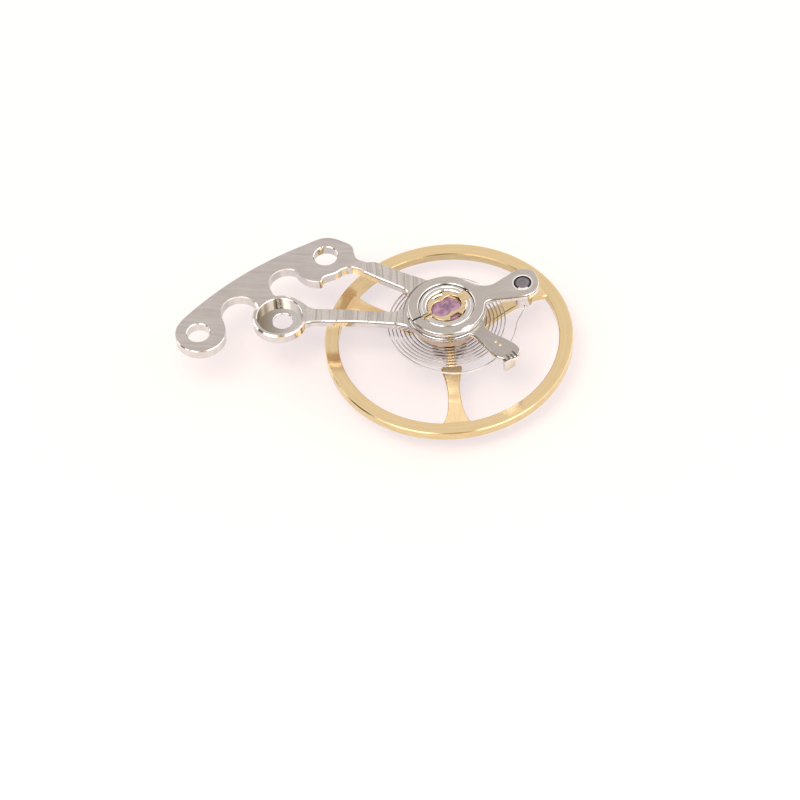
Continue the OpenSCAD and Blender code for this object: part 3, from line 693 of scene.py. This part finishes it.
holder = plate("stud_lever", holder_plan, [], 3.46, 3.70, lambda x, y: 0.024 + web_bevel(x, y) + front_bevel(x, y), 0.015,
               lambda x, y: 0.024 + 0.28 * web_bevel(x, y) + front_bevel(x, y), 0.015, 0.05)
cut(holder,
    lathe("clip", [(0, 3), (1.13, 3), (1.13, 3.67), (1.165, 3.705), (1.165, 4), (0, 4)], 160),
    block("slit", (1.0, 0.08, 1.0), (1.5 * math.cos(rad(205.5)), 1.5 * math.sin(rad(205.5)), 3.6), 205.5),
    lathe("eye", [(0, 3), (0.362, 3), (0.362, 3.675), (0.422, 3.703), (0.422, 4), (0, 4)], 96, STUD))
finish_piece(holder, "stud_holder", ["stud_holder"], [lever_satin, lever_edge, bridge_painted_shadow_line], lambda c, n: 2 if under_edge(c, n, 3.70) else lever_face(c, n))

def stud_face(c, n):
    if c.z < 3.55 or abs(n.z) < 0.2:
        return 2 if c.z < 2.56 else 1
    if n.z > 0.95:
        return 0
    # the chamfer facing -y gets bright steel as a painted highlight; the rest of the chamfer gets near-black as a
    # painted shadow outline
    return 1 if n.y < -0.25 and n.z > 0.7 and abs(c.x - STUD[0]) < 0.18 else 2


stud = lathe("spring_stud", [(0, 2.52), (0.33, 2.52), (0.36, 2.55), (0.36, 3.61), (0.337, 3.648), (0.276, 3.677), (0.20, 3.685), (0.10, 3.689), (0, 3.69)], 96, STUD)
slot_dir = (math.cos(rad(-82)), math.sin(rad(-82)))
cut(stud, block("slot", (1.0, 0.10, 0.24), (STUD[0] + slot_dir[0] * 0.44, STUD[1] + slot_dir[1] * 0.44, 2.58), -82))
finish_piece(stud, "stud_holder", ["hairspring_stud"], [stud_top, stud_side_and_highlight, stud_rim_painted_shade], stud_face)
bead_at = (STUD[0] + slot_dir[0] * 0.312, STUD[1] + slot_dir[1] * 0.312)
bead = lathe("stud_bead", [(0, 2.671), (0.040, 2.671), (0.044, 2.68), (0.036, 2.692), (0.018, 2.699), (0, 2.70)], 32, bead_at)
finish_piece(bead, "stud_holder", ["stud_cement"], [cement])

# ---------------------------------------------------------------- hairspring
SPRING_Z, STRIP_H, STRIP_T = 2.62, 0.10, 0.036
STUD_ANG, STUD_R = math.degrees(math.atan2(STUD[1], STUD[0])), math.hypot(*STUD)
CURB_R, COILS_R, PITCH, F_IN, R_END = 2.77, 2.40, 0.15, 158, 0.4725
F_END = F_IN + 360 * (COILS_R - R_END - 0.03) / PITCH


def spring_r(f):
    if f < F_IN:
        if f < 70:
            return STUD_R + (CURB_R - STUD_R) * ease((f - 1) / 24)
        return CURB_R + (COILS_R - CURB_R) * ease((f - 76) / (F_IN - 76))
    r0 = COILS_R - PITCH * (f - F_IN) / 360
    if f < F_END - 60:
        return r0
    return r0 + (R_END - (COILS_R - PITCH * (F_END - F_IN) / 360)) * ease((f - F_END + 60) / 60)


def make_hairspring():
    fs = list(np.linspace(2.2, 30, 30)) + list(np.arange(33, F_END - 1, 3.0)) + [F_END]
    b = 0.006
    section = [(-1, -1, 0, b), (-1, -1, b, 0), (1, -1, -b, 0), (1, -1, 0, b), (1, 1, 0, -b), (1, 1, -b, 0), (-1, 1, b, 0), (-1, 1, 0, -b)]
    verts, faces, weights, run, last = [], [], [], 0.0, None
    for f in fs:
        r, a = spring_r(f), rad(STUD_ANG - f)
        if last is not None:
            run += math.dist(last, (r * math.cos(a), r * math.sin(a)))
        last = (r * math.cos(a), r * math.sin(a))
        for sx, sz, dx, dz in section:
            rr = r + sx * STRIP_T / 2 + dx
            verts.append((rr * math.cos(a), rr * math.sin(a), SPRING_Z + sz * STRIP_H / 2 + dz))
            weights.append(run)
    n, k = len(fs), len(section)
    for i in range(n - 1):
        for j in range(k):
            faces.append((k * i + j, k * i + (j + 1) % k, k * (i + 1) + (j + 1) % k, k * (i + 1) + j))
    faces += [tuple(range(k)), tuple(range(k * (n - 1), k * n))]
    ob = mesh_object("hairspring_strip", verts, faces)
    return ob, np.array(weights) / run


hairspring, run_share = make_hairspring()
finish_piece(hairspring, None, ["hairspring"], [spring_side_painted_shade, spring_top_painted_shade], lambda c, n: 1 if abs(n.z) > 0.6 else 0)
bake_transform(hairspring)

collet = lathe("collet", [(0.24, 2.45), (0.43, 2.45), (0.45, 2.47), (0.45, 2.73), (0.43, 2.75), (0.24, 2.75)], 96)
cut(collet, block("slit", (0.6, 0.06, 1.0), (0.4 * math.cos(rad(40)), 0.4 * math.sin(rad(40)), 2.5), 40))
finish_piece(collet, "balance", ["hairspring_collet"], [gilt])

# ---------------------------------------------------------------- balance
staff = lathe("staff", [
    (0, 0), (0.035, 0), (0.046, 0.004), (0.05, 0.016), (0.05, 0.16), (0.055, 0.20), (0.07, 0.24), (0.11, 0.30), (0.20, 0.36), (0.24, 0.40),
    (0.24, 1.30), (0.52, 1.30), (0.54, 1.32), (0.54, 1.48), (0.42, 1.48), (0.42, 1.72), (0.47, 1.72), (0.47, 1.755), (0.455, 1.765), (0.40, 1.79), (0.30, 1.82),
    (0.24, 1.86), (0.24, 2.74), (0.20, 2.80), (0.12, 2.88), (0.075, 2.95), (0.055, 2.99), (0.05, 3.03), (0.05, 3.194), (0.046, 3.206), (0.035, 3.21), (0, 3.21)], 96)
finish_piece(staff, "balance", ["balance_staff"], [staff_steel])

spoke_edge = [(0.50, 0.22), (1.00, 0.22), (1.30, 0.215), (1.42, 0.23), (1.485, 0.285), (1.525, 0.38), (1.60, 0.42), (1.72, 0.405), (1.95, 0.345), (2.40, 0.275), (2.90, 0.245),
              (3.40, 0.27), (3.85, 0.33), (4.15, 0.41), (4.35, 0.50), (4.46, 0.58), (4.56, 0.67)]
spoke_line = smooth(spoke_edge, 0.06, closed=False)
RIM_IN = 4.445


def wheel_window(k):
    a0 = -90 + 120 * k
    left = [p for p in spoke_line if math.hypot(p[0], p[1]) > 0.53]
    one = turned_by([(x, y) for x, y in left], a0)
    two = turned_by([(x, -y) for x, y in left][::-1], a0 + 120)
    b0, b1 = math.degrees(math.atan2(one[-1][1], one[-1][0])), math.degrees(math.atan2(two[0][1], two[0][0]))
    b1 += 360 * (b1 < b0)
    rim = arc((0, 0), 4.60, b0 + 0.5, b1 - 0.5, 80)
    c0, c1 = math.degrees(math.atan2(two[-1][1], two[-1][0])), math.degrees(math.atan2(one[0][1], one[0][0]))
    c0 += 360 * (c0 < c1)
    hub = arc((0, 0), 0.53, c0 - 1, c1 + 1, 24)
    return one + rim + two + hub


def spoke_bevel(x, y):
    r = math.hypot(x, y)
    return smooth_line_at([(0, 0.015), (1.40, 0.02), (1.54, 0.045), (1.75, 0.045), (2.5, 0.025), (5, 0.02)], r)


wheel = lathe("wheel", [(RIM_IN, 1.335), (RIM_IN + 0.035, 1.30), (4.965, 1.30), (5.0, 1.335), (5.0, 1.665), (4.965, 1.70), (RIM_IN + 0.035, 1.70), (RIM_IN, 1.665)], 360)
add(wheel,
    plate("spokes", circle((0, 0), 4.80, 240), [wheel_window(k) for k in range(3)], 1.48, 1.699, spoke_bevel, 0.02, lambda x, y: 0.7 * spoke_bevel(x, y)),
    lathe("disc", [(0, 1.475), (0.535, 1.475), (0.55, 1.49), (0.55, 1.705), (0.535, 1.72), (0, 1.72)], 128))
cut(wheel, lathe("bore", [(0, 1), (0.42, 1), (0.42, 2), (0, 2)], 96))


def wheel_face(c, n):
    r = math.hypot(c.x, c.y)
    # hub top: painted shade
    if r < 0.60 and c.z > 1.70:
        return 4
    if abs(n.z) > 0.985:
        return 0 if r > RIM_IN else 1
    if n.z > 0.25 and r < 4.7:
        return 3
    return 2


finish_piece(wheel, "balance", ["balance_wheel"], [wheel_satin, wheel_spoke_painted_shade, wheel_edge, wheel_line, wheel_hub_painted_shade], wheel_face)

impulse_plan = arc((0, 0), 0.09, math.degrees(math.acos(0.05 / 0.09)), 360 - math.degrees(math.acos(0.05 / 0.09)), 48)
roller = lathe("roller", [(0.24, 0.95), (0.68, 0.95), (0.70, 0.97), (0.70, 1.08), (0.68, 1.10), (0.24, 1.10)], 144)
jewel_plan = [(-y, x + 0.52) for x, y in impulse_plan]
cut(roller, plate("seat", jewel_plan, [], 0.5, 1.5, 0, 0))
finish_piece(roller, "balance", ["roller_table"], [roller_steel])
pin = plate("impulse_pin", jewel_plan, [], 0.50, 1.10, 0.006, 0.012)
finish_piece(pin, "balance", ["impulse_jewel"], [ruby])
bead2 = lathe("roller_bead", [(0, 1.10), (0.125, 1.10), (0.13, 1.107), (0.118, 1.13), (0.09, 1.150), (0.04, 1.159), (0, 1.16)], 48, (0, 0.52))
finish_piece(bead2, "balance", ["roller_cement"], [cement], angle=60)
safety = lathe("safety_disc", [(0.24, 0.52), (0.37, 0.52), (0.38, 0.53), (0.38, 0.71), (0.37, 0.72), (0.24, 0.72)], 96)
cut(safety, lathe("crescent", [(0, 0), (0.12, 0), (0.12, 1), (0, 1)], 64, (0, 0.42)))
finish_piece(safety, "balance", ["safety_roller"], [roller_steel])


# ---------------------------------------------------------------- floor, light, camera
def make_floor():
    bm = bmesh.new()
    bmesh.ops.create_grid(bm, x_segments=8, y_segments=8, size=0.6)
    me = bpy.data.meshes.new("floor")
    bm.to_mesh(me)
    bm.free()
    ob = bpy.data.objects.new("floor", me)
    scene.collection.objects.link(ob)
    m, nt, bsdf = new_material("floor_paper")
    v = grain(nt, (60, 60, 60), 3.0)
    nt.links.new(mixed(nt, v, (0.508, 0.437, 0.350), (0.520, 0.448, 0.359)), bsdf.inputs["Base Color"])
    bsdf.inputs["Roughness"].default_value = 0.9
    bsdf.inputs["Specular IOR Level"].default_value = 0.0
    bsdf.inputs["Emission Color"].default_value = (0.711, 0.767, 1.0, 1)
    bsdf.inputs["Emission Strength"].default_value = 0.45
    me.materials.append(m)


make_floor()

world = bpy.data.worlds.new("studio")
scene.world = world
world.use_nodes = True
wt = world.node_tree
wt.nodes.clear()
w_out = wt.nodes.new("ShaderNodeOutputWorld")
w_bg = wt.nodes.new("ShaderNodeBackground")
wt.links.new(w_bg.outputs[0], w_out.inputs[0])
w_dir = wt.nodes.new("ShaderNodeTexCoord").outputs["Generated"]


def lobe(azimuth, elevation, inner, outer):
    """1 within the inner angle of a direction, 0 outside the outer angle. Azimuth 0 is the camera's side."""
    a, e = rad(azimuth - 90), rad(elevation)
    way = (math.cos(e) * math.cos(a), math.cos(e) * math.sin(a), math.sin(e))
    d = node(wt, "ShaderNodeVectorMath", {0: w_dir, 1: way}, operation="DOT_PRODUCT").outputs["Value"]
    return node(wt, "ShaderNodeMapRange", {"Value": d, "From Min": math.cos(rad(outer)), "From Max": math.cos(rad(inner)), "To Min": 0.0, "To Max": 1.0},
                interpolation_type="SMOOTHSTEP").outputs[0]


sky = mixed(wt, lobe(180, 52, 14, 50), (1.42, 1.34, 1.29), (0.80, 0.75, 0.715))
sky = mixed(wt, lobe(-40, 42, 10, 22), sky, (2.4, 2.3, 2.2))
sky = mixed(wt, lobe(38, 40, 10, 22), sky, (2.4, 2.3, 2.2))
sky = mixed(wt, lobe(54, 33, 7, 13), sky, (2.6, 2.5, 2.4))
sky = mixed(wt, lobe(92, 40, 8, 14), sky, (2.6, 2.5, 2.4))
sky = mixed(wt, lobe(-82, 25, 6, 14), sky, (0.14, 0.11, 0.09))
sky = mixed(wt, lobe(0, 50, 12, 19), sky, (0.80, 0.56, 0.28))
sky = mixed(wt, lobe(0, 50, 6, 12), sky, (0.12, 0.10, 0.09))
wt.links.new(sky, w_bg.inputs[0])
w_bg.inputs[1].default_value = 1.0


def softbox(name, at, size, radiance, tint=(1, 1, 1)):
    data = bpy.data.lights.new(name, "AREA")
    data.shape = "RECTANGLE"
    data.size, data.size_y = size
    data.energy = radiance * size[0] * size[1] * math.pi
    data.color = tint
    ob = bpy.data.objects.new(name, data)
    ob.location = at
    ob.rotation_mode = "QUATERNION"
    ob.rotation_quaternion = (Vector((0, 0, 0.002)) - Vector(at)).to_track_quat("-Z", "Y")
    scene.collection.objects.link(ob)
    return ob


softbox("softbox_high", (-0.05, -0.15, 0.31), (0.16, 0.12), 9.0, (1.0, 0.97, 0.95))

ELEV, TURN, SCALE = rad(50.4), rad(-5), 25.06
right = Vector((math.cos(TURN), math.sin(ELEV) * math.sin(TURN), math.cos(ELEV) * math.sin(TURN)))
up = Vector((-math.sin(TURN), math.sin(ELEV) * math.cos(TURN), math.cos(ELEV) * math.cos(TURN)))
back = Vector((0, -math.cos(ELEV), math.sin(ELEV)))
FAR = 200.0
shift_px = (2.0, 1.0)
aim = Vector((0, 0, 3.70)) - right * ((44.3 + shift_px[0]) / SCALE) - up * ((96.1 - shift_px[1]) / SCALE)
cam_data = bpy.data.cameras.new("camera")
cam = bpy.data.objects.new("camera", cam_data)
scene.collection.objects.link(cam)
basis = Matrix((right, up, back)).transposed()
cam.matrix_world = Matrix.Translation((aim + back * FAR) * MM) @ basis.to_4x4()
cam_data.sensor_width = 36
cam_data.lens = 36 * FAR / (800 / SCALE)
cam_data.clip_start, cam_data.clip_end = 0.01, 5
scene.camera = cam
scene.view_settings.view_transform = "Standard"
scene.view_settings.look = "None"
